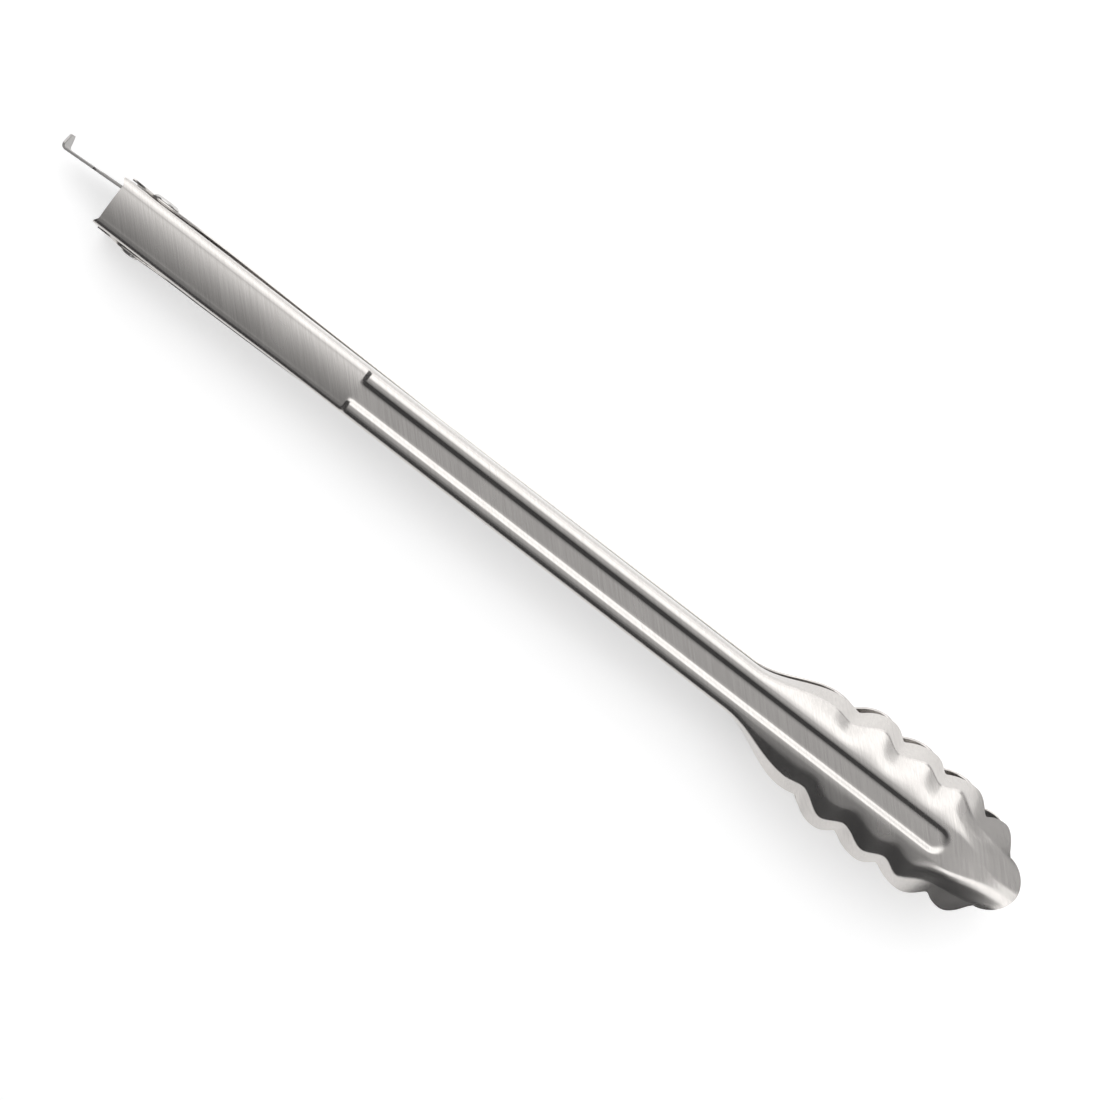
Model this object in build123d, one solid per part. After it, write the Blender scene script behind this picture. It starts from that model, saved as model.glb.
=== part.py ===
from build123d import *
import math
import os

os.makedirs("parts", exist_ok=True)

# Driving dimensions, mm. s runs along an arm from the cut end of its web at the hinge to the claw tip.
ARM_LENGTH = 406.4
SHEET = 0.9
HALF_STACK = 12.0
PIN_FROM_END = 13.6
PIN_RADIUS = 3.0
PIN_PLAY = 0.05
RIM_HALF = 10.0
OUTER_HINGE_HALF = 11.2
REST_ANGLE = 3.0

WALL_RIM = 2.5
EAR_END = 45.0
EAR_CREST = 3.0
EAR = ((-9.5, 0.0), (-4.5, -5.2), (0, -6.8), (5.0, -5.6), (11, -1.2), (18, 1.8))

RIB_START, RIB_FULL, RIB_END = 110.5, 113.5, 375.0
RIB_FLOOR_HALF, RIB_RIDGE_HALF, RIB_DEPTH = 2.9, 5.3, 0.95
CREST = 1.1
HANDLE_WEB = HALF_STACK - RIB_DEPTH
HANDLE_CROWN = 0.35
RIB_SHIFT = 0.35
RIB_KNOTS = (0.0, 0.28, 0.5, 0.62, 0.74, 0.87, 1.0)
CROWN_KNOTS = (0.0, 0.25, 0.5, 0.75, 1.0)
CLAW_ROW, GROOVE_END_ROW = 1.5, 0.6
CLAW_SPANS = (284.0, 314.0, 345.0, 369.0, 378.0, 408.0)

# Rim of the claw, as (s, half width): hollows between the lobes, and the lobe crowns.
FLARE_START = 284.0
HOLLOWS = ((323.0, 18.4), (341.6, 19.8), (360.0, 19.8), (379.8, 16.6), (395.2, 10.7))
CROWNS = ((316.0, 19.6), (334.3, 23.6), (353.0, 23.6), (371.2, 23.0), (387.2, 19.2))
TIP_HALF, TIP_CENTRE = 10.8, 394.5

# Bend between web and wall in the claw, as (s, half width), and where the spoon of the tip begins.
BEND_LINE = ((284.0, 9.5), (315.2, 15.1), (322.6, 14.0), (333.8, 18.9), (342.6, 15.6))
BEND_LINE += ((352.3, 19.0), (360.6, 16.2), (369.0, 20.0), (380.0, 17.0))
SPOON_START = 364.0

HEAD_RADIUS, HEAD_RISE = 5.35, 1.2
CLINCH_RADIUS, CLINCH_RISE = 3.65, 1.0
RIVET_GAP = 0.1

WIRE, COIL_RADIUS, COIL_TURNS = 1.8, 5.2, 4
COIL_START, COIL_END = -7.6, 2.7
LEG_LENGTH, LEG_GAP = 32.0, 0.9

STRIP = 1.0
STRIP_Y, STRIP_LEAN = 6.1, 2.9
SLIDE_TRAVEL = 22.0
LOCK_HEAD_HALF, LOCK_HEAD_REAR, LOCK_HEAD_FRONT = 8.75, 12.5, 10.2
STEM_HALF, STEM_REACH = 5.2, 14.5
TAB_HALF, TAB_REACH = 4.3, 29.0
FLANGE_REACH, FLANGE_BEND, FLANGE_HALF = 6.1, 1.6, 2.3


def ease(start, end, x):
    """Smooth step from 0 to 1."""
    t = min(1.0, max(0.0, (x - start) / (end - start)))
    return t * t * (3 - 2 * t)


def outline(s):
    """Half width of the claw blank: round lobes that meet in narrow hollows."""
    if s <= CROWNS[0][0]:
        return RIM_HALF + (CROWNS[0][1] - RIM_HALF) * ease(FLARE_START, CROWNS[0][0], s)
    for (crown, high), (hollow, low) in zip(CROWNS, HOLLOWS):
        if crown < s <= hollow:
            return low + (high - low) * (1 - ((s - crown) / (hollow - crown)) ** 2.2)
    for (crown, high), (hollow, low) in zip(CROWNS[1:], HOLLOWS):
        if hollow < s <= crown:
            return low + (high - low) * (1 - ((crown - s) / (crown - hollow)) ** 2.2)
    u = min(1.0, (s - TIP_CENTRE) / (ARM_LENGTH - TIP_CENTRE))
    return TIP_HALF * max(0.0, 1 - u * u) ** 0.55


def rim_half(s):
    """Outline with the hollows eased; the tip is left wide, to be cut round."""
    if s > TIP_CENTRE + 0.9:
        return TIP_HALF + 0.2 * (s - TIP_CENTRE - 0.9)
    return (outline(s - 0.8) + 2 * outline(s) + outline(s + 0.8)) / 4


def web_height(s):
    """Height of the ridges over the parting plane: they stand up from the handle and fall off at the tip."""
    u = max(0.0, s - 368.0) / (ARM_LENGTH - 368.0)
    return HANDLE_WEB + RIB_DEPTH * ease(RIB_START, RIB_FULL, s) - (HALF_STACK - 2.0) * u ** 2.1


def rim_height(s):
    """Height of the wall's free edge over the parting plane."""
    return WALL_RIM - 1.6 * ease(318.0, 376.0, s)


def bend_line(s):
    """Half width of the bend between web and wall: it follows the handle, then waves with the lobes."""
    for (a, low), (b, high) in zip(BEND_LINE, BEND_LINE[1:]):
        if s <= b:
            return low + (high - low) * ease(a, b, s)
    return BEND_LINE[-1][1]


def envelope(s):
    """Half width of the spoon that the tip's lobes are cut from."""
    return 23.9 - 13.0 * (max(0.0, s - SPOON_START) / (ARM_LENGTH - SPOON_START)) ** 1.7


def bend_radius(s):
    return 2.8 + 0.9 * ease(RIB_START, RIB_FULL, s) - 0.9 * ease(292, 312, s) + 9.0 * ease(362, 378, s)


def corner_and_rim(s, half, low):
    """Where web and wall would meet, and the free edge; from the fourth lobe on both lie on one spoon."""
    top, foot = web_height(s), rim_height(s)
    share = 0.86 - 0.24 * ease(292, 315, s)
    side = half - 0.5 * ease(EAR_END, 90, s) if s < FLARE_START else bend_line(s)
    corner = (side, foot + (top - foot) * share)
    spoon = ease(SPOON_START - 1, SPOON_START + 16, s)
    wide = envelope(s)
    inner = (0.6 * wide, foot + (top - foot) * 0.66)
    outer = inner[1] + (foot - inner[1]) * (half - inner[0]) / (wide - inner[0])
    corner = (corner[0] + (inner[0] - corner[0]) * spoon, corner[1] + (inner[1] - corner[1]) * spoon)
    return corner, (half, low + (outer - foot) * spoon)


def ridge_half(s):
    """The flat middle of the web, which closes up towards the tip."""
    return RIB_RIDGE_HALF - 4.3 * ease(RIB_END, 398, s)


def web_crown(s, y):
    """How far the handle's web has fallen off at y; the ridges' crests are flat."""
    return HANDLE_CROWN * (1 - ease(RIB_START, RIB_FULL, s)) * (y / (RIB_RIDGE_HALF + CREST)) ** 2


def rib_depth(s, y):
    """Stiffening groove: a long channel with a sharp start and a round end."""
    off = math.hypot(y, max(0.0, s - (RIB_END - RIB_RIDGE_HALF)))
    return RIB_DEPTH * ease(RIB_START, RIB_FULL, s) * (1 - ease(RIB_FLOOR_HALF, RIB_RIDGE_HALF, off))


def unit(a, b):
    length = math.dist(a, b)
    return ((b[0] - a[0]) / length, (b[1] - a[1]) / length)


def section_points(s, half, low, inset):
    """Crown from the ridge's crest to the bend, the bend's middle and end, and the free edge, as (y, z)."""
    top = web_height(s)
    first = ridge_half(s) * (1 + CREST / RIB_RIDGE_HALF)
    top -= web_crown(s, first)
    corner, rim = corner_and_rim(s, half, low)
    width, drop = corner[0] - first, top - corner[1]
    crown = [(first + width * u, top - drop * u ** 1.7) for u in (0, 0.17, 0.34, 0.5)]
    along, down = unit(crown[-1], corner), unit(corner, rim)
    n1, n2 = (along[1], -along[0]), (down[1], -down[0])
    k = inset / (1 + n1[0] * n2[0] + n1[1] * n2[1])
    corner = (corner[0] + k * (n1[0] + n2[0]), corner[1] + k * (n1[1] + n2[1]))
    rim = (rim[0] + inset * n2[0], rim[1] + inset * n2[1])
    shift = RIB_SHIFT * inset / SHEET * ridge_half(s) / RIB_RIDGE_HALF
    crown = [(y + shift * (1 - n / 3) + n1[0] * inset * n / 3, z - inset) for n, (y, z) in enumerate(crown)]
    turn = math.acos(along[0] * down[0] + along[1] * down[1])
    back = min((bend_radius(s) - inset) * math.tan(turn / 2), 0.85 * math.dist(crown[-1], corner))
    back = min(back, 0.8 * math.dist(corner, rim))
    radius = back / math.tan(turn / 2)
    start = (corner[0] - back * along[0], corner[1] - back * along[1])
    end = (corner[0] + back * down[0], corner[1] + back * down[1])
    centre = (start[0] + radius * n1[0], start[1] + radius * n1[1])
    out = unit(centre, corner)
    middle = (centre[0] + radius * out[0], centre[1] + radius * out[1])
    return crown + [start], middle, end, rim


def rib_points(s, inset):
    """Across the stiffening groove, from the middle to the ridge."""
    scale = ridge_half(s) / RIB_RIDGE_HALF
    shift = RIB_SHIFT * inset / SHEET * scale
    ys = [RIB_FLOOR_HALF * a for a in (0, 0.55, 1)]
    ys += [RIB_FLOOR_HALF + (RIB_RIDGE_HALF - RIB_FLOOR_HALF) * k / 4 for k in range(1, 5)]
    top = web_height(s) - inset
    fall = [rib_depth(s, y * scale) + web_crown(s, y * scale) for y in ys]
    return [(y * scale + shift * (y > 2), top - down) for y, down in zip(ys, fall)]


def half_edges(s, half, low, inset):
    """Edges from the middle of the web to the free edge, in the plane across the arm at s."""
    x = s - PIN_FROM_END
    crown, middle, end, rim = section_points(s, half, low, inset)
    groove = Edge.make_spline([Vector(x, *p) for p in rib_points(s, inset)], parameters=RIB_KNOTS)
    crest = Edge.make_line(groove @ 1, (x, *crown[0]))
    shoulder = Edge.make_spline([Vector(x, *p) for p in crown], parameters=CROWN_KNOTS)
    start, middle, end, rim = [(x, *p) for p in (crown[-1], middle, end, rim)]
    bend = [Edge.make_three_point_arc(start, middle, end), Edge.make_line(end, rim)]
    return [groove, crest, shoulder] + bend, rim


def section(s, half, low):
    """Closed outline of the sheet across the arm at s."""
    outer, rim = half_edges(s, half, low, 0)
    inner, lip = half_edges(s, half, low, SHEET)
    side = outer + [Edge.make_line(rim, lip)] + inner
    return Wire(side + [e.mirror(Plane.XZ) for e in side])


def ears(first, half):
    """Hinge end: the channel with deep walls, cut to round ears about the pin."""
    low = -7.6
    block = Solid.make_loft([section(first, half, low), section(EAR_END, half, low)], True)
    back, front = first - PIN_FROM_END, EAR_END - PIN_FROM_END
    curve = Spline((back, EAR_CREST), *EAR, (front, WALL_RIM), tangents=[(1, -0.1), (1, 0)])
    floor = -HALF_STACK
    frame = [(front, WALL_RIM), (front + 1, WALL_RIM), (front + 1, floor)]
    frame += [(back - 1, floor), (back - 1, EAR_CREST), (back, EAR_CREST)]
    waste = extrude(Rot(90, 0, 0) * make_face(curve.edges() + Polyline(*frame).edges()), 20, both=True)
    return block - waste


def loft_through(half_at, rows, ruled=True):
    return Solid.make_loft([section(s, half_at(s), rim_height(s)) for s in rows], ruled)


def pressed_sheet(half_at, first):
    """The whole arm: hinge channel, tapering handle, stiffening groove, lobed claw."""
    arm = ears(first, half_at(0)) + loft_through(half_at, [EAR_END, RIB_START])
    arm += loft_through(half_at, [RIB_START, RIB_START + 1, RIB_START + 2, RIB_FULL])
    arm += loft_through(half_at, [RIB_FULL, 140.0, 284.0])
    for start, end in zip(CLAW_SPANS, CLAW_SPANS[1:]):
        count = round((end - start) / (GROOVE_END_ROW if start == 369.0 else CLAW_ROW))
        rows = [start + (end - start) * k / count for k in range(count + 1)]
        arm += loft_through(half_at, rows, ruled=False)
    return arm


def upper_half(s):
    return RIM_HALF if s < FLARE_START else rim_half(s)


def lower_half(s):
    spread = (OUTER_HINGE_HALF - RIM_HALF) * min(1.0, max(0.0, (140.0 - s) / 95.0))
    return upper_half(s) + spread


def prism(points, low, high):
    """Upright block over a plan outline."""
    return extrude(Pos(0, 0, low) * make_face(Polyline(*points, close=True)), high - low)


def tip_cutter():
    """Everything outside the rounded claw tip."""
    start = HOLLOWS[-1][0]
    reach = ARM_LENGTH - TIP_CENTRE
    first = math.asin((start - TIP_CENTRE) / reach)
    angles = [first + (math.pi / 2 - first) * k / 14 for k in range(15)]
    side = [(TIP_CENTRE + reach * math.sin(a), TIP_HALF * math.cos(a) ** 1.1) for a in angles[:-1]]
    side = [(s - PIN_FROM_END, y) for s, y in side]
    nose = [(ARM_LENGTH - PIN_FROM_END, 0)]
    curve = Spline(*(side + nose + [(x, -y) for x, y in reversed(side)]))
    face = make_face([curve, Line(curve @ 1, curve @ 0)])
    block = Pos(side[0][0] + 15, 0, 0) * Box(30, 40, 60)
    return block - extrude(Pos(0, 0, -30) * face, 60)


def end_notch(spread, overhang):
    """Cuts the web square at the hinge end and leaves the walls standing proud."""
    x = -PIN_FROM_END
    side = [(x - 5, 9.9 + spread), (x - overhang, 9.6 + spread), (x, 7.4 + spread)]
    return prism(side + [(a, -b) for a, b in reversed(side)], HANDLE_WEB - 4, HANDLE_WEB + 1)


def make_arm(half_at, spread, overhang):
    arm = pressed_sheet(half_at, -overhang)
    bore = Rot(90, 0, 0) * Cylinder(PIN_RADIUS + PIN_PLAY, 60)
    return arm - tip_cutter() - bore - end_notch(spread, overhang)


def make_rivet():
    """Shank, domed head on one side, rolled hollow clinch on the other."""
    seat = OUTER_HINGE_HALF + RIVET_GAP
    top, foot, edge = seat + HEAD_RISE, -seat - CLINCH_RISE, CLINCH_RADIUS * 0.75
    head = [
        Line((0, top), (HEAD_RADIUS * 0.55, top)),
        Spline((HEAD_RADIUS * 0.55, top), (HEAD_RADIUS * 0.87, top - 0.32), (HEAD_RADIUS, seat + 0.25)),
        Polyline((HEAD_RADIUS, seat + 0.25), (HEAD_RADIUS, seat), (PIN_RADIUS, seat), (PIN_RADIUS, -seat)),
        Polyline((PIN_RADIUS, -seat), (CLINCH_RADIUS, -seat), (CLINCH_RADIUS, -seat - 0.3)),
        Spline((CLINCH_RADIUS, -seat - 0.3), (CLINCH_RADIUS * 0.9, foot + 0.15), (edge, foot)),
        Polyline((edge, foot), (1.7, foot + 0.5), (1.5, foot + 4.5), (0, foot + 5.0), (0, top)),
    ]
    return revolve(make_face(head), Axis.Y, 360)


def spring_path():
    """Centre line of the wire: leg in the lower arm, coil, leg in the upper arm."""
    web = HANDLE_WEB - SHEET - WIRE / 2 - LEG_GAP
    sag = web - COIL_RADIUS
    leg = [(LEG_LENGTH * k / 8, COIL_RADIUS + sag * ease(0, 0.85, k / 8)) for k in range(8, 0, -1)]
    lift = math.radians(REST_ANGLE)
    total = math.pi - lift + 2 * math.pi * COIL_TURNS
    count = 20 * COIL_TURNS
    coil = []
    for k in range(count + 1):
        a = -math.pi / 2 - total * k / count
        y = COIL_START + (COIL_END - COIL_START) * k / count
        coil.append(Vector(COIL_RADIUS * math.cos(a), y, COIL_RADIUS * math.sin(a)))
    lower = [Vector(x, COIL_START, -z) for x, z in leg]
    upper = [Vector(x, COIL_END, z).rotate(Axis.Y, -REST_ANGLE) for x, z in reversed(leg)]
    return lower + coil + upper


def make_spring():
    """Round wire coil about the shank; one leg lies in each arm."""
    line = Edge.make_spline(spring_path())
    count = 168
    rings = []
    for k in range(count + 1):
        frame = Plane(origin=line @ (k / count), x_dir=(0, 1, 0), z_dir=line % (k / count))
        rings.append(Wire.make_circle(WIRE / 2, frame))
    spans = [Solid.make_loft(rings[k:k + 25]) for k in range(0, count, 24)]
    return spans[0].fuse(*spans[1:])


def make_slide():
    """Flat strip: slotted wide head, stem, pull tab with its tapered end bent to one side."""
    end = -TAB_REACH
    rear, front = PIN_FROM_END - LOCK_HEAD_REAR, PIN_FROM_END + LOCK_HEAD_FRONT
    head = Pos((rear + front) / 2, 0) * RectangleRounded(front - rear, 2 * LOCK_HEAD_HALF, 1.5)
    stem = Pos((front - 4 - STEM_REACH) / 2, 0) * RectangleRounded(front - 4 + STEM_REACH, 2 * STEM_HALF, 2.0)
    tab = Pos(end / 2, 0) * RectangleRounded(-end, 2 * TAB_HALF, 0.6)
    low, high = PIN_FROM_END - SLIDE_TRAVEL - 0.5, PIN_FROM_END + 3.7
    slot = Pos((low + high) / 2, 0) * SlotCenterToCenter(high - low, 2 * (PIN_RADIUS + 0.3))
    plate = Pos(0, STRIP / 2 + 12, 0) * Rot(90, 0, 0) * extrude(head + stem + tab - slot, 24)
    r = FLANGE_BEND
    line = Line((front, 0), (end + STRIP / 2 + r, 0))
    bend = TangentArc(line @ 1, (end + STRIP / 2, r), tangent=line % 1)
    lip = Line(bend @ 1, (end + STRIP / 2, FLANGE_REACH - STRIP / 2))
    ribbon = trace([line, bend, lip], STRIP)
    ribbon = extrude(Pos(0, 0, -LOCK_HEAD_HALF) * ribbon, 2 * LOCK_HEAD_HALF)
    taper = Polyline((r, TAB_HALF), (FLANGE_REACH, FLANGE_HALF), (FLANGE_REACH, 6), (r, 6), close=True)
    taper = extrude(Pos(end - 1, 0, 0) * Plane.YZ * make_face(taper), 4 * STRIP)
    strip = (ribbon & plate) - taper - taper.mirror(Plane.XY)
    return Pos(-PIN_FROM_END, STRIP_Y, 0) * Rot(0, 0, STRIP_LEAN) * strip


def tilt(shape, angle):
    return Rot(0, -angle, 0) * shape


def main():
    turn_over = Rot(180, 0, 0)
    parts = {
        "lower_arm": turn_over * make_arm(lower_half, OUTER_HINGE_HALF - RIM_HALF, 2.2),
        "upper_arm": tilt(make_arm(upper_half, 0, 1.7), REST_ANGLE),
        "hinge_rivet": tilt(make_rivet(), REST_ANGLE / 2),
        "torsion_spring": make_spring(),
        "lock_slide": tilt(make_slide(), REST_ANGLE / 2),
    }
    box = Compound(children=[Part() + p for p in parts.values()]).bounding_box()
    home = Pos(-box.center().X, 0, HALF_STACK)
    print("pin axis at x", round(-box.center().X, 4), "z", HALF_STACK)
    for name, shape in parts.items():
        export_step(home * shape, f"parts/{name}.step")


main()
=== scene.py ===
import math

import bmesh
import bpy
from mathutils import Matrix, Vector


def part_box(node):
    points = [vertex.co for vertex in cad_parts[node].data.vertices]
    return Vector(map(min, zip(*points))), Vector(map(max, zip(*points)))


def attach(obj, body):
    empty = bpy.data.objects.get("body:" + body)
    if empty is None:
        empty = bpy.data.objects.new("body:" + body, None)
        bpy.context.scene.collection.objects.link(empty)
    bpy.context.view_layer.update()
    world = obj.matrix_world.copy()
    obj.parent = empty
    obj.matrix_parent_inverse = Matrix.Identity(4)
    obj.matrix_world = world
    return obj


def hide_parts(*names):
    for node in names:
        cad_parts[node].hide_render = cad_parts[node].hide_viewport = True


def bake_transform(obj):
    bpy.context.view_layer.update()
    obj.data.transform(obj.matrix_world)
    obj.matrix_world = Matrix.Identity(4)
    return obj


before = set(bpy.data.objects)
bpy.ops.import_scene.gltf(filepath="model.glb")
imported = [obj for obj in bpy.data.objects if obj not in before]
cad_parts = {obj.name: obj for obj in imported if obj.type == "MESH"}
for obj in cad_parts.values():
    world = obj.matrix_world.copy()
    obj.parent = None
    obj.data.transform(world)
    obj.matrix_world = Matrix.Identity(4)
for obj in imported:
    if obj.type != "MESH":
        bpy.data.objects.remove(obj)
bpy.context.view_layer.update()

MM = 0.001
ARM_LENGTH, SHEET, HALF_STACK, PIN_FROM_END = 406.4, 0.9, 12.0, 13.6
PIN_RADIUS, PIN_PLAY = 3.0, 0.05
RIM_HALF, OUTER_HINGE_HALF, WALL_RIM = 10.0, 11.2, 2.5
REST_ANGLE = math.radians(3.0)
EAR_END, EAR_CREST = 45.0, 3.0
EAR = ((-9.5, 0.0), (-4.5, -5.2), (0, -6.8), (5.0, -5.6), (11, -1.2), (18, 1.8))
RIB_START, RIB_FULL, RIB_END = 110.5, 113.5, 375.0
RIB_FLOOR_HALF, RIB_RIDGE_HALF, RIB_DEPTH, RIB_SHIFT, CREST = 2.9, 5.3, 0.95, 0.35, 1.1
HANDLE_WEB, HANDLE_CROWN = HALF_STACK - RIB_DEPTH, 0.35
FLARE_START = 284.0
HOLLOWS = ((323.0, 18.4), (341.6, 19.8), (360.0, 19.8), (379.8, 16.6), (395.2, 10.7))
CROWNS = ((316.0, 19.6), (334.3, 23.6), (353.0, 23.6), (371.2, 23.0), (387.2, 19.2))
TIP_HALF, TIP_CENTRE = 10.8, 394.5
BEND_LINE = ((284.0, 9.5), (315.2, 15.1), (322.6, 14.0), (333.8, 18.9), (342.6, 15.6))
BEND_LINE += ((352.3, 19.0), (360.6, 16.2), (369.0, 20.0), (380.0, 17.0))
SPOON_START = 364.0
HEAD_RADIUS, HEAD_RISE, CLINCH_RADIUS, CLINCH_RISE, RIVET_GAP = 5.35, 1.2, 3.65, 1.0, 0.1
WIRE, COIL_RADIUS, COIL_TURNS, COIL_START, COIL_END = 1.8, 5.2, 4, -7.6, 2.7
LEG_LENGTH, LEG_GAP = 32.0, 0.9
STRIP, STRIP_Y, STRIP_LEAN, SLIDE_TRAVEL = 1.0, 6.1, math.radians(2.9), 22.0
LOCK_HEAD_HALF, LOCK_HEAD_REAR, LOCK_HEAD_FRONT = 8.75, 12.5, 10.2
STEM_HALF, STEM_REACH, TAB_HALF, TAB_REACH = 5.2, 14.5, 4.3, 29.0
FLANGE_REACH, FLANGE_BEND, FLANGE_HALF = 6.1, 1.6, 2.3
STEM_CORNER, HEAD_CORNER = 2.0, 1.5
SLOT_GAP, SLOT_SPARE, SLOT_FRONT = 0.3, 0.5, 3.7

# Rounding of edges: of the sheet's free edge, of the wire's ends and of the strip's section.
EDGE_PULL, EDGE_BULGE = 0.16, 0.14
END_SHARES = (0.98, 0.8, 0.45)
STRIP_SECTION = ((-1, -0.8), (-0.7, -1), (0.7, -1), (1, -0.8), (1, 0.8), (0.7, 1), (-0.7, 1), (-1, 0.8))
STRIP_EASE = 0.15
BORE_REACH = 30

low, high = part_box("hinge_rivet")
PIN = Vector(((low[0] + high[0]) / 2, 0.0, HALF_STACK * MM))


# ---------------------------------------------------------------- arm shape, mm

def ease(start, end, x):
    t = min(1.0, max(0.0, (x - start) / (end - start)))
    return t * t * (3 - 2 * t)


def outline(s):
    """Half width of the claw blank: round lobes that meet in narrow hollows."""
    if s <= CROWNS[0][0]:
        return RIM_HALF + (CROWNS[0][1] - RIM_HALF) * ease(FLARE_START, CROWNS[0][0], s)
    for (crown, top), (hollow, dip) in zip(CROWNS, HOLLOWS):
        if crown < s <= hollow:
            return dip + (top - dip) * (1 - ((s - crown) / (hollow - crown)) ** 2.2)
    for (crown, top), (hollow, dip) in zip(CROWNS[1:], HOLLOWS):
        if hollow < s <= crown:
            return dip + (top - dip) * (1 - ((crown - s) / (crown - hollow)) ** 2.2)
    u = min(1.0, (s - TIP_CENTRE) / (ARM_LENGTH - TIP_CENTRE))
    return TIP_HALF * max(0.0, 1 - u * u) ** 0.55


def rim_half(s):
    if s > TIP_CENTRE + 0.9:
        return TIP_HALF + 0.2 * (s - TIP_CENTRE - 0.9)
    return (outline(s - 0.8) + 2 * outline(s) + outline(s + 0.8)) / 4


def web_height(s):
    u = max(0.0, s - 368.0) / (ARM_LENGTH - 368.0)
    return HANDLE_WEB + RIB_DEPTH * ease(RIB_START, RIB_FULL, s) - (HALF_STACK - 2.0) * u ** 2.1


def hermite(points, slopes, x):
    """Height at x of the smooth curve through (x, height) points with those end slopes."""
    rise = [slopes[0]]
    for a, b in zip(points, points[2:]):
        rise.append((b[1] - a[1]) / (b[0] - a[0]))
    rise.append(slopes[1])
    k = 0
    while k < len(points) - 2 and x > points[k + 1][0]:
        k += 1
    (x0, z0), (x1, z1) = points[k], points[k + 1]
    h = x1 - x0
    t = min(1.0, max(0.0, (x - x0) / h))
    near = (1 + 2 * t) * (1 - t) ** 2 * z0 + t * (1 - t) ** 2 * h * rise[k]
    return near + t * t * (3 - 2 * t) * z1 + t * t * (t - 1) * h * rise[k + 1]


def foot_height(s):
    return WALL_RIM - 1.6 * ease(318.0, 376.0, s)


def free_edge(s, first):
    """Height of the wall's free edge: round ears about the pin, then an even wall."""
    if s >= EAR_END:
        return foot_height(s)
    points = [(first - PIN_FROM_END, EAR_CREST), *EAR, (EAR_END - PIN_FROM_END, WALL_RIM)]
    return hermite(points, (-0.1, 0.0), s - PIN_FROM_END)


def bend_line(s):
    """Half width of the bend between web and wall: it follows the handle, then waves with the lobes."""
    for (a, low), (b, high) in zip(BEND_LINE, BEND_LINE[1:]):
        if s <= b:
            return low + (high - low) * ease(a, b, s)
    return BEND_LINE[-1][1]


def envelope(s):
    """Half width of the spoon that the tip's lobes are cut from."""
    return 23.9 - 13.0 * (max(0.0, s - SPOON_START) / (ARM_LENGTH - SPOON_START)) ** 1.7


def bend_radius(s):
    return 2.8 + 0.9 * ease(RIB_START, RIB_FULL, s) - 0.9 * ease(292, 312, s) + 9.0 * ease(362, 378, s)


def corner_and_rim(s, half, low):
    """Where web and wall would meet, and the free edge; from the fourth lobe on both lie on one spoon."""
    top, foot = web_height(s), foot_height(s)
    share = 0.86 - 0.24 * ease(292, 315, s)
    side = half - 0.5 * ease(EAR_END, 90, s) if s < FLARE_START else bend_line(s)
    corner = (side, foot + (top - foot) * share)
    spoon = ease(SPOON_START - 1, SPOON_START + 16, s)
    wide = envelope(s)
    inner = (0.6 * wide, foot + (top - foot) * 0.66)
    outer = inner[1] + (foot - inner[1]) * (half - inner[0]) / (wide - inner[0])
    corner = (corner[0] + (inner[0] - corner[0]) * spoon, corner[1] + (inner[1] - corner[1]) * spoon)
    return corner, (half, low + (outer - foot) * spoon)


def ridge_half(s):
    return RIB_RIDGE_HALF - 4.3 * ease(RIB_END, 398, s)


def web_crown(s, y):
    """How far the handle's web has fallen off at y; the ridges' crests are flat."""
    return HANDLE_CROWN * (1 - ease(RIB_START, RIB_FULL, s)) * (y / (RIB_RIDGE_HALF + CREST)) ** 2


def rib_depth(s, y):
    off = math.hypot(y, max(0.0, s - (RIB_END - RIB_RIDGE_HALF)))
    return RIB_DEPTH * ease(RIB_START, RIB_FULL, s) * (1 - ease(RIB_FLOOR_HALF, RIB_RIDGE_HALF, off))


def unit(a, b):
    length = math.dist(a, b)
    return ((b[0] - a[0]) / length, (b[1] - a[1]) / length)


def along_line(a, b, count):
    return [(a[0] + (b[0] - a[0]) * k / count, a[1] + (b[1] - a[1]) * k / count) for k in range(1, count + 1)]


def smooth_run(points, first_dir, last_dir, per):
    """Curve through (y, z) points, per steps to each gap, without the first point."""
    dirs = [first_dir] + [unit(a, b) for a, b in zip(points, points[2:])] + [last_dir]
    run = []
    for (a, b), (da, db) in zip(zip(points, points[1:]), zip(dirs, dirs[1:])):
        h = math.dist(a, b)
        for k in range(1, per + 1):
            t = k / per
            w = ((1 + 2 * t) * (1 - t) ** 2, t * (1 - t) ** 2 * h, t * t * (3 - 2 * t), t * t * (t - 1) * h)
            run.append(tuple(w[0] * a[i] + w[1] * da[i] + w[2] * b[i] + w[3] * db[i] for i in (0, 1)))
    return run


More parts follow.
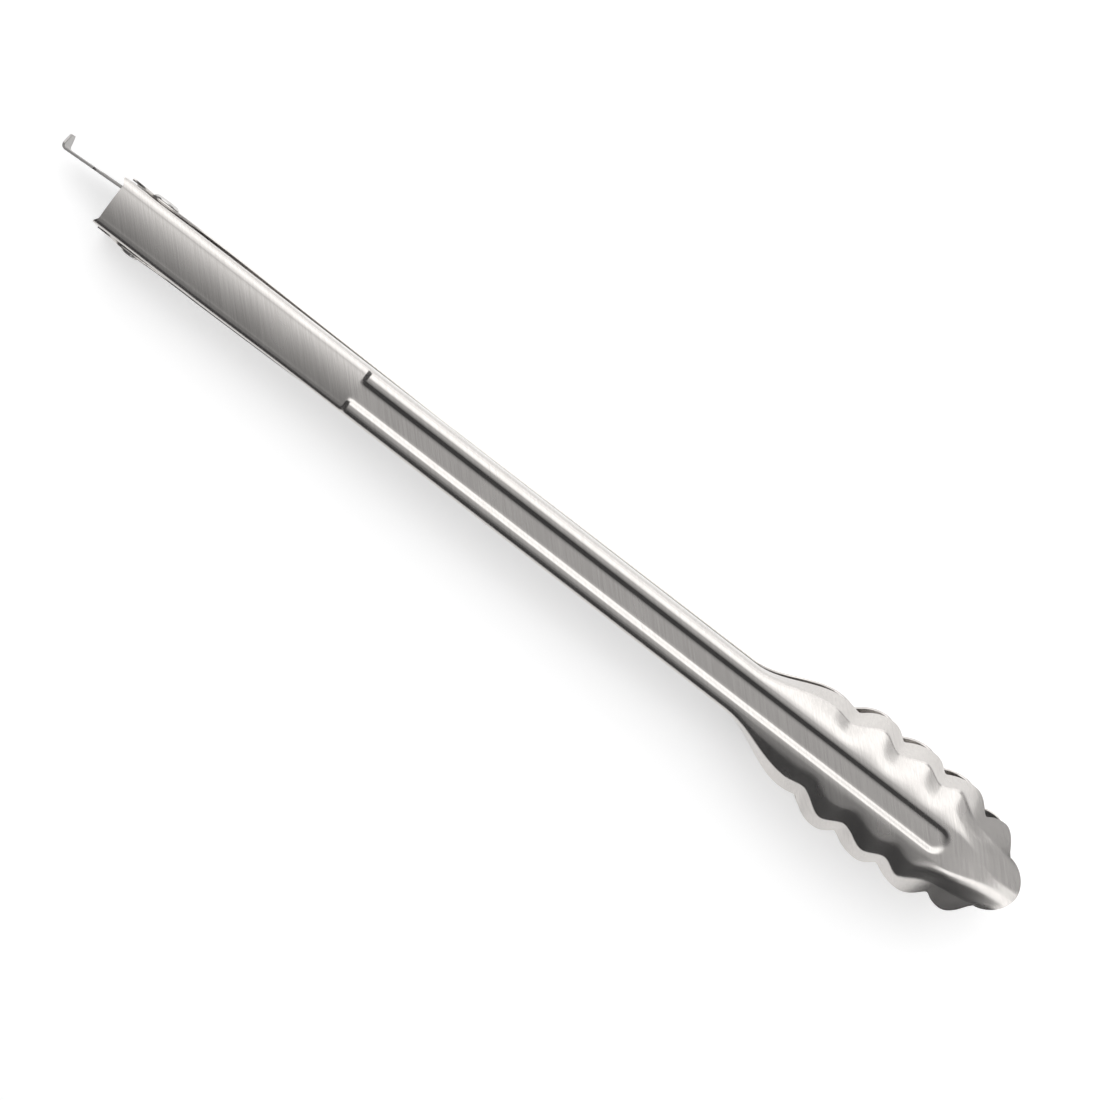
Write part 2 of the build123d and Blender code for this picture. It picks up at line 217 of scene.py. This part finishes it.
def half_profile(s, half, low, inset):
    """Points (y, z) across half the arm, from the middle of the web to the free edge."""
    top, ridge = web_height(s), ridge_half(s)
    first = ridge * (1 + CREST / RIB_RIDGE_HALF)
    corner, rim = corner_and_rim(s, half, low)
    edge = top - web_crown(s, first)
    width, drop = corner[0] - first, edge - corner[1]
    crown = [(first + width * u, edge - drop * u ** 1.7) for u in (0, 0.17, 0.34, 0.5)]
    along, down = unit(crown[-1], corner), unit(corner, rim)
    n1, n2 = (along[1], -along[0]), (down[1], -down[0])
    k = inset / (1 + n1[0] * n2[0] + n1[1] * n2[1])
    corner = (corner[0] + k * (n1[0] + n2[0]), corner[1] + k * (n1[1] + n2[1]))
    rim = (rim[0] + inset * n2[0], rim[1] + inset * n2[1])
    shift = RIB_SHIFT * inset / SHEET * ridge / RIB_RIDGE_HALF
    crown = [(y + shift * (1 - n / 3) + n1[0] * inset * n / 3, z - inset) for n, (y, z) in enumerate(crown)]
    turn = math.acos(along[0] * down[0] + along[1] * down[1])
    back = min((bend_radius(s) - inset) * math.tan(turn / 2), 0.85 * math.dist(crown[-1], corner))
    back = min(back, 0.8 * math.dist(corner, rim))
    radius = back / math.tan(turn / 2)
    start = (corner[0] - back * along[0], corner[1] - back * along[1])
    end = (corner[0] + back * down[0], corner[1] + back * down[1])
    centre = (start[0] + radius * n1[0], start[1] + radius * n1[1])
    across = [RIB_FLOOR_HALF * k / 4 for k in range(4)]
    across += [RIB_FLOOR_HALF + (RIB_RIDGE_HALF - RIB_FLOOR_HALF) * k / 10 for k in range(11)]
    points = []
    for y in across:
        scaled = y * ridge / RIB_RIDGE_HALF
        fall = rib_depth(s, scaled) + web_crown(s, scaled)
        points.append((scaled + shift * min(1, y / RIB_FLOOR_HALF), top - inset - fall))
    points += along_line(points[-1], crown[0], 2)
    points += smooth_run(crown + [start], unit(points[-2], crown[0]), along, 3)
    for k in range(1, 13):
        a = turn * k / 12
        y, z = start[0] - centre[0], start[1] - centre[1]
        across_turn, up_turn = y * math.cos(a) + z * math.sin(a), -y * math.sin(a) + z * math.cos(a)
        points.append((centre[0] + across_turn, centre[1] + up_turn))
    return points + along_line(end, rim, 10)


def clipped(points, limit):
    """The same number of points, ending where the profile reaches limit in y."""
    if points[-1][0] <= limit:
        return points
    runs = [0.0]
    for a, b in zip(points, points[1:]):
        runs.append(runs[-1] + math.dist(a, b))
    k = next(i for i in range(1, len(points)) if points[i][0] >= limit)
    part = (limit - points[k - 1][0]) / max(1e-9, points[k][0] - points[k - 1][0])
    reach = runs[k - 1] + part * (runs[k] - runs[k - 1])
    result = []
    for run in runs:
        want = run * reach / runs[-1]
        k = next(i for i in range(1, len(runs)) if runs[i] >= want - 1e-9)
        t = (want - runs[k - 1]) / (runs[k] - runs[k - 1])
        a, b = points[k - 1], points[k]
        result.append((a[0] + (b[0] - a[0]) * t, a[1] + (b[1] - a[1]) * t))
    return result


def sheet_loop(s, half, low):
    """Half of the loop across the arm: outer face, eased free edge, inner face."""
    faces = [half_profile(s, half, low, inset) for inset in (0.0, SHEET)]
    if s > HOLLOWS[-1][0]:
        faces = [clipped(face, outline(s)) for face in faces]
    for face in faces:
        (ya, za), (yb, zb) = face[-2], face[-1]
        pull = min(0.5, EDGE_PULL / max(1e-6, math.dist(face[-2], face[-1])))
        face[-1] = (yb + (ya - yb) * pull, zb + (za - zb) * pull)
    outer, inner = faces
    (yo, zo), (yi, zi) = outer[-1], inner[-1]
    dy, dz = unit(outer[-2], outer[-1])
    bulge = (dy * EDGE_BULGE, dz * EDGE_BULGE)
    edge = [(yo + (yi - yo) * t + bulge[0], zo + (zi - zo) * t + bulge[1]) for t in (0.25, 0.75)]
    return outer + edge + inner[::-1]


def stations(first):
    rows = [first + 0.7 * k for k in range(int((44.5 - first) / 0.7))]
    rows += [45.0 + 3.0 * k for k in range(21)]
    rows += [109.0 + 0.25 * k for k in range(24)]
    rows += [118.0 + 5.0 * k for k in range(33)]
    rows += [281.0 + 0.6 * k for k in range(190)]
    reach = ARM_LENGTH - HOLLOWS[-1][0]
    rows += [HOLLOWS[-1][0] + reach * math.sin(math.pi / 2 * k / 36) for k in range(1, 35)]
    return rows + [ARM_LENGTH - 0.02]


def upper_half(s):
    return RIM_HALF if s < FLARE_START else rim_half(s)


def lower_half(s):
    spread = (OUTER_HINGE_HALF - RIM_HALF) * min(1.0, max(0.0, (140.0 - s) / 95.0))
    return upper_half(s) + spread


# ---------------------------------------------------------------- mesh helpers

def mesh_object(name, verts, faces, place):
    mesh = bpy.data.meshes.new(name)
    mesh.from_pydata([place @ Vector(v) for v in verts], [], faces)
    mesh.validate()
    bm = bmesh.new()
    bm.from_mesh(mesh)
    bmesh.ops.recalc_face_normals(bm, faces=bm.faces)
    if bm.calc_volume(signed=True) < 0:
        bmesh.ops.reverse_faces(bm, faces=bm.faces)
    bm.to_mesh(mesh)
    bm.free()
    obj = bpy.data.objects.new(name, mesh)
    bpy.context.collection.objects.link(obj)
    return obj


def soften(obj, degrees=32):
    obj.data.shade_smooth()
    obj.data.set_sharp_from_angle(angle=math.radians(degrees))


def cut(obj, *tools):
    """Takes the tools out of obj for good."""
    for tool in tools:
        modifier = obj.modifiers.new("cut", "BOOLEAN")
        modifier.operation, modifier.solver, modifier.object = "DIFFERENCE", "EXACT", tool
        graph = bpy.context.evaluated_depsgraph_get()
        mesh = bpy.data.meshes.new_from_object(obj.evaluated_get(graph))
        obj.modifiers.remove(modifier)
        obj.data = mesh
    for tool in tools:
        bpy.data.objects.remove(tool)


def ring_faces(rows, ring):
    """Quads between rows of ring points each, and a cap at both ends."""
    faces = []
    for row in range(rows - 1):
        a, b = row * ring, (row + 1) * ring
        faces += [(a + k, a + (k + 1) % ring, b + (k + 1) % ring, b + k) for k in range(ring)]
    last = (rows - 1) * ring
    return faces + [tuple(range(ring)), tuple(range(last, last + ring))]


def lathe(name, profile, place, segments=72):
    """Turned piece about Y from (radius, y) points; both ends are closed."""
    turns = [2 * math.pi * k / segments for k in range(segments)]
    verts = [(r * math.cos(a), y, r * math.sin(a)) for r, y in profile for a in turns]
    obj = mesh_object(name, verts, ring_faces(len(profile), segments), place)
    bm = bmesh.new()
    bm.from_mesh(obj.data)
    bmesh.ops.remove_doubles(bm, verts=bm.verts, dist=1e-7)
    bm.to_mesh(obj.data)
    bm.free()
    return obj


def prism_object(name, points, low_z, high_z, place):
    n = len(points)
    verts = [(x, y, low_z) for x, y in points] + [(x, y, high_z) for x, y in points]
    return mesh_object(name, verts, ring_faces(2, n), place)


# ---------------------------------------------------------------- pieces

def make_arm(name, half_at, spread, overhang, place):
    """One pressed arm as a grid of quads, bored for the rivet and notched at the web's end."""
    rows = stations(-overhang)
    verts = []
    for s in rows:
        right = sheet_loop(s, half_at(s), free_edge(s, -overhang))
        n = len(right)
        x = s - PIN_FROM_END
        left = [(-y, z) for y, z in right[-2:0:-1]]
        verts += [(x, y, z) for y, z in right + left]
    ring = 2 * n - 2
    faces = ring_faces(len(rows), ring)[:-2]
    for base in (0, (len(rows) - 1) * ring):
        for k in range((n - 1) // 2):
            quad = (base + k, base + k + 1, base + (n - 2 - k), base + (n - 1 - k))
            faces.append(quad)
            faces.append(tuple(base + (ring - v + base) % ring for v in quad))
    obj = mesh_object(name, verts, faces, place)
    wall = PIN_RADIUS + PIN_PLAY
    bore = lathe("bore", [(wall, -BORE_REACH), (wall, BORE_REACH)], place, 96)
    x = -PIN_FROM_END
    side = [(x - 5, 9.9 + spread), (x - overhang, 9.6 + spread), (x, 7.4 + spread)]
    points = side + [(a, -b) for a, b in reversed(side)]
    notch = prism_object("notch", points, HANDLE_WEB - 4, HANDLE_WEB + 1, place)
    cut(obj, bore, notch)
    soften(obj)
    return obj


def make_rivet(place):
    """Shank with a domed head and a rolled hollow clinch."""
    seat = OUTER_HINGE_HALF + RIVET_GAP
    top, foot = seat + HEAD_RISE, -seat - CLINCH_RISE
    shares = (0, 0.3, 0.5, 0.65, 0.77, 0.86, 0.93, 0.98)
    dome = [(HEAD_RADIUS * u, top - (HEAD_RISE - 0.3) * u ** 7) for u in shares]
    head = [(HEAD_RADIUS, seat + 0.15), (HEAD_RADIUS - 0.05, seat + 0.03), (HEAD_RADIUS - 0.2, seat)]
    shank = [(PIN_RADIUS, seat), (PIN_RADIUS, 0), (PIN_RADIUS, -seat), (CLINCH_RADIUS - 0.1, -seat)]
    roll = []
    for k in range(13):
        a = math.pi * k / 12
        roll.append((CLINCH_RADIUS - 0.95 + 0.95 * math.cos(a), -seat - 0.15 - 0.85 * math.sin(a)))
    well = [(1.6, foot + 1.2), (1.5, foot + 4.5), (0.9, foot + 4.9), (0, foot + 5.0)]
    rivet = lathe("rivet", dome + head + shank + roll + well, place)
    soften(rivet, 40)
    return rivet


def round_end(point, inward, tangent, radius, shares):
    """Rings (centre, direction, radius) that round off one end of a wire."""
    return [(point + inward * radius * (1 - c), tangent, radius * math.sqrt(1 - c * c)) for c in shares]


def tube(name, path, radius, place, sides=16):
    """Round wire along a path, with rounded ends."""
    points = [Vector(p) for p in path]
    tangents = [(b - a).normalized() for a, b in zip(points, points[1:])]
    middle = [(a + b).normalized() for a, b in zip(tangents, tangents[1:])]
    tangents = [tangents[0]] + middle + [tangents[-1]]
    first, last = points[0], points[-1]
    rings = round_end(first, tangents[0], tangents[0], radius, END_SHARES)
    for point, tangent in zip(points, tangents):
        if (point - first).length > radius and (point - last).length > radius:
            rings.append((point, tangent, radius))
    rings += round_end(last, -tangents[-1], tangents[-1], radius, END_SHARES[::-1])
    verts = []
    side = Vector((0, 1, 0))
    for centre, tangent, r in rings:
        side = (side - tangent * side.dot(tangent)).normalized()
        other = tangent.cross(side)
        for k in range(sides):
            a = 2 * math.pi * k / sides
            verts.append(centre + side * (r * math.cos(a)) + other * (r * math.sin(a)))
    obj = mesh_object(name, verts, ring_faces(len(verts) // sides, sides), place)
    soften(obj, 50)
    return obj


def spring_path():
    """Centre line of the wire: leg in the lower arm, coil, leg in the upper arm."""
    web = HANDLE_WEB - SHEET - WIRE / 2 - LEG_GAP
    sag = web - COIL_RADIUS
    leg = [(LEG_LENGTH * k / 40, COIL_RADIUS + sag * ease(0, 0.85, k / 40)) for k in range(40, 0, -1)]
    total = math.pi - REST_ANGLE + 2 * math.pi * COIL_TURNS
    count = 56 * COIL_TURNS
    coil = []
    for k in range(count + 1):
        a = -math.pi / 2 - total * k / count
        y = COIL_START + (COIL_END - COIL_START) * k / count
        coil.append(Vector((COIL_RADIUS * math.cos(a), y, COIL_RADIUS * math.sin(a))))
    lift = Matrix.Rotation(-REST_ANGLE, 3, "Y")
    lower = [Vector((x, COIL_START, -z)) for x, z in leg]
    upper = [lift @ Vector((x, COIL_END, z)) for x, z in reversed(leg)]
    return lower + coil + upper


def rounded_step(l, small, large, radius, sign):
    """(run, half height) points where the strip widens round a corner; sign -1 narrows again."""
    steps = [(math.sin(math.pi / 2 * k / 8), math.cos(math.pi / 2 * k / 8)) for k in range(9)]
    corner = [(l + sign * radius * (1 - c), large - radius + radius * s) for s, c in steps]
    run = [(l - sign * 0.02, small)] + corner
    return run if sign > 0 else run[::-1]


def make_slide(place):
    """Flat strip swept along its bent line, with its outline as a half height, then slotted."""
    front, rear = PIN_FROM_END + LOCK_HEAD_FRONT, PIN_FROM_END - LOCK_HEAD_REAR
    end = -TAB_REACH + STRIP / 2
    turn = end + FLANGE_BEND
    lip = FLANGE_REACH - STRIP / 2 - FLANGE_BEND
    arc = FLANGE_BEND * math.pi / 2
    tip = turn - arc - lip
    runs = rounded_step(tip, 1.2, FLANGE_HALF, 0.7, 1)[1:]
    runs += [(tip + lip * k / 4, FLANGE_HALF + (TAB_HALF - FLANGE_HALF) * k / 4) for k in range(1, 4)]
    runs += [(turn - arc * (1 - k / 12), TAB_HALF) for k in range(13)]
    runs += rounded_step(-STEM_REACH, TAB_HALF, STEM_HALF, STEM_CORNER, 1)
    runs += rounded_step(rear, STEM_HALF, LOCK_HEAD_HALF, HEAD_CORNER, 1)
    runs += rounded_step(front, 1.0, LOCK_HEAD_HALF, HEAD_CORNER, -1)[:-1]
    verts = []
    for l, half in runs:
        if l >= turn:
            x, y, nx, ny = l, 0.0, 0.0, 1.0
        elif l >= turn - arc:
            a = (turn - l) / FLANGE_BEND
            x, y = turn - FLANGE_BEND * math.sin(a), FLANGE_BEND * (1 - math.cos(a))
            nx, ny = math.sin(a), math.cos(a)
        else:
            x, y, nx, ny = end, FLANGE_BEND + turn - arc - l, 1.0, 0.0
        for t, z in STRIP_SECTION:
            height = math.copysign(half - (0 if abs(z) == 1 else STRIP_EASE), z)
            verts.append((x + nx * t * STRIP / 2, y + ny * t * STRIP / 2, height))
    lean = Matrix.Translation((-PIN_FROM_END, STRIP_Y, 0)) @ Matrix.Rotation(STRIP_LEAN, 4, "Z")
    obj = mesh_object("slide_strip", verts, ring_faces(len(runs), 8), place @ lean)
    radius = PIN_RADIUS + SLOT_GAP
    a_end, b_end = PIN_FROM_END - SLIDE_TRAVEL - SLOT_SPARE, PIN_FROM_END + SLOT_FRONT
    loop = []
    for k in range(49):
        a = -math.pi / 2 + math.pi * k / 48
        loop.append((b_end + radius * math.cos(a), radius * math.sin(a)))
    loop += [(a_end + b_end - x, -z) for x, z in loop]
    upright = Matrix.Rotation(math.pi / 2, 4, "X")
    slot = prism_object("slot", loop, -3, 3, place @ lean @ upright)
    cut(obj, slot)
    soften(obj, 28)
    return obj


def pin_frame(angle, turned=False):
    """From hinge millimetres to scene metres, tilted about the pin."""
    turn = Matrix.Rotation(-angle, 4, "Y")
    flip = Matrix.Rotation(math.pi, 4, "X") if turned else Matrix.Identity(4)
    return Matrix.Translation(PIN) @ turn @ Matrix.Scale(MM, 4) @ flip


# ---------------------------------------------------------------- materials

def look(name, build):
    material = bpy.data.materials.new(name)
    material.use_nodes = True
    nodes, links = material.node_tree.nodes, material.node_tree.links
    build(nodes, links, nodes["Principled BSDF"])
    return material


def grain(nodes, links, turn, scale, detail=4.0):
    """Noise drawn out along one direction of the surface."""
    coords = nodes.new("ShaderNodeTexCoord")
    turned = nodes.new("ShaderNodeMapping")
    turned.inputs["Rotation"].default_value = (0, 0, math.radians(turn))
    drawn = nodes.new("ShaderNodeMapping")
    drawn.inputs["Scale"].default_value = scale
    noise = nodes.new("ShaderNodeTexNoise")
    noise.inputs["Scale"].default_value = 1.0
    noise.inputs["Detail"].default_value = detail
    links.new(coords.outputs["Object"], turned.inputs["Vector"])
    links.new(turned.outputs["Vector"], drawn.inputs["Vector"])
    links.new(drawn.outputs["Vector"], noise.inputs["Vector"])
    return noise.outputs["Fac"]


def ramp(nodes, links, value, low, high):
    """Runs value into the span from low to high."""
    node = nodes.new("ShaderNodeMapRange")
    node.inputs["From Min"].default_value, node.inputs["From Max"].default_value = 0.3, 0.7
    node.inputs["To Min"].default_value, node.inputs["To Max"].default_value = low, high
    links.new(value, node.inputs["Value"])
    return node.outputs["Result"]


def tinted(nodes, links, value, dark, light):
    node = nodes.new("ShaderNodeMix")
    node.data_type = "RGBA"
    node.inputs["A"].default_value, node.inputs["B"].default_value = (*dark, 1), (*light, 1)
    links.new(value, node.inputs["Factor"])
    return node.outputs["Result"]


def steel(dark, light, rough, turn, depth, scale=(60, 2600, 900)):
    """Metal with drawn-out brushing, slightly uneven gloss and tone."""
    def build(nodes, links, shader):
        brushed = grain(nodes, links, turn, scale)
        patchy = grain(nodes, links, turn, (40, 90, 60), 2.0)
        shader.inputs["Metallic"].default_value = 1.0
        links.new(tinted(nodes, links, brushed, dark, light), shader.inputs["Base Color"])
        links.new(ramp(nodes, links, patchy, rough - 0.03, rough + 0.03), shader.inputs["Roughness"])
        bump = nodes.new("ShaderNodeBump")
        bump.inputs["Strength"].default_value = 0.5
        bump.inputs["Distance"].default_value = depth
        links.new(brushed, bump.inputs["Height"])
        links.new(bump.outputs["Normal"], shader.inputs["Normal"])
    return build


def pale(nodes, links, shader):
    shader.inputs["Base Color"].default_value = (0.9, 0.9, 0.9, 1)
    shader.inputs["Roughness"].default_value = 0.6
    shader.inputs["Emission Color"].default_value = (1, 1, 1, 1)
    shader.inputs["Emission Strength"].default_value = 0.43


def dress(obj, material, body, node):
    obj.data.materials.clear()
    obj.data.materials.append(material)
    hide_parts(node)
    if body:
        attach(obj, body)


ARM_STEEL = look("arm_steel", steel((0.5, 0.48, 0.463), (0.7, 0.675, 0.65), 0.25, 45, 0.00002))
RIVET_STEEL = look("rivet_steel", steel((0.55, 0.54, 0.53), (0.62, 0.61, 0.6), 0.2, 0, 0.000004))
SPRING_STEEL = look("spring_steel", steel((0.5, 0.5, 0.51), (0.6, 0.6, 0.61), 0.18, 0, 0.000004))
SLIDE_STEEL = look("slide_steel", steel((0.33, 0.32, 0.31), (0.43, 0.42, 0.41), 0.3, 0, 0.000008))

upper = make_arm("upper_arm_sheet", upper_half, 0.0, 1.7, pin_frame(REST_ANGLE))
lower = make_arm("lower_arm_sheet", lower_half, OUTER_HINGE_HALF - RIM_HALF, 2.2, pin_frame(0.0, True))
rivet = make_rivet(pin_frame(REST_ANGLE / 2))
slide = make_slide(pin_frame(REST_ANGLE / 2))
spring = tube("spring_wire", spring_path(), WIRE / 2, pin_frame(0.0))
dress(upper, ARM_STEEL, "upper_arm", "upper_arm")
dress(lower, ARM_STEEL, "lower_arm", "lower_arm")
dress(rivet, RIVET_STEEL, "rivet", "hinge_rivet")
dress(slide, SLIDE_STEEL, "lock", "lock_slide")
dress(spring, SPRING_STEEL, None, "torsion_spring")
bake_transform(spring)


# ---------------------------------------------------------------- stage, light, camera

bpy.ops.mesh.primitive_plane_add(size=40, location=(0, 0, -0.0002))
floor = bpy.context.object
floor.name = "floor"
floor.data.materials.append(look("floor", pale))


def softbox(name, low_corner, high_corner, height, radiance):
    """Level panel over the floor, shining down, given by its corners in x and y."""
    size = [b - a for a, b in zip(low_corner, high_corner)]
    light = bpy.data.lights.new(name, "AREA")
    light.shape, light.size, light.size_y = "RECTANGLE", size[0], size[1]
    light.energy = math.pi * size[0] * size[1] * radiance
    obj = bpy.data.objects.new(name, light)
    obj.location = ((low_corner[0] + high_corner[0]) / 2, (low_corner[1] + high_corner[1]) / 2, height)
    bpy.context.collection.objects.link(obj)
    return obj


# Panels overhead as (name, corner, corner, radiance), brightest on the rivet head's side and past the claw.
CEILING, WALL_MIDDLE = 1.6, 0.85
PANELS = (
    ("key_edge", (-2.2, 0.06), (1.0, 0.24), 0.8),
    ("key_inner", (-2.2, 0.24), (1.0, 0.6), 1.15),
    ("key", (-2.2, 0.6), (1.0, 1.6), 1.75),
    ("key_outer", (-2.2, 1.6), (1.0, 2.4), 1.75),
    ("overhead", (-2.2, -0.18), (1.0, 0.06), 0.43),
    ("overhead_low", (-2.2, -0.42), (1.0, -0.18), 0.25),
    ("overhead_end", (1.0, -0.42), (2.2, 0.24), 0.5),
    ("low_side", (-2.2, -1.2), (0.8, -0.42), 0.19),
    ("end", (0.8, -1.2), (4.5, 0.0), 1.9),
    ("end_fill", (1.0, 0.24), (4.5, 3.4), 0.55),
)
for name, low_corner, high_corner, radiance in PANELS:
    softbox(name, low_corner, high_corner, CEILING, radiance)

# Two upright panels side by side, facing the tongs from the rivet head's side.
for name, middle, width, radiance in (("fill", -0.85, 2.7, 1.5), ("fill_end", 1.35, 1.7, 0.45)):
    fill = softbox(name, (middle - width / 2, -0.8), (middle + width / 2, 0.8), WALL_MIDDLE, radiance)
    fill.location = (middle, 2.5, WALL_MIDDLE)
    fill.rotation_euler = (math.radians(-90), 0, 0)

world = bpy.data.worlds.new("world")
bpy.context.scene.world = world
world.use_nodes = True
world.node_tree.nodes["Background"].inputs["Color"].default_value = (0.06, 0.06, 0.062, 1)
world.node_tree.nodes["Background"].inputs["Strength"].default_value = 1.0

# The camera stands over the tongs, slightly to the rivet head's side, and is rolled so that they run
# down to the right. FIELD is the width it sees at the tongs.
DISTANCE, FIELD, SENSOR = 0.80, 0.3939, 36
aim = Vector((PIN.x + 0.1868, -0.0031, 0.022))
camera = bpy.data.objects.new("camera", bpy.data.cameras.new("camera"))
bpy.context.collection.objects.link(camera)
camera.data.sensor_width = SENSOR
camera.data.lens = SENSOR * DISTANCE / FIELD
camera.data.clip_start = 0.01
place = aim + Vector((0, 0.043, DISTANCE))
right = Vector((0.7921, 0.6104, 0)).normalized()
forward = (aim - place).normalized()
up = right.cross(forward)
right = forward.cross(up).normalized()
up = right.cross(forward).normalized()
camera.matrix_world = Matrix.Translation(place) @ Matrix((right, up, -forward)).transposed().to_4x4()
bpy.context.scene.camera = camera
bpy.context.scene.view_settings.view_transform = "Standard"

bpy.context.view_layer.update()
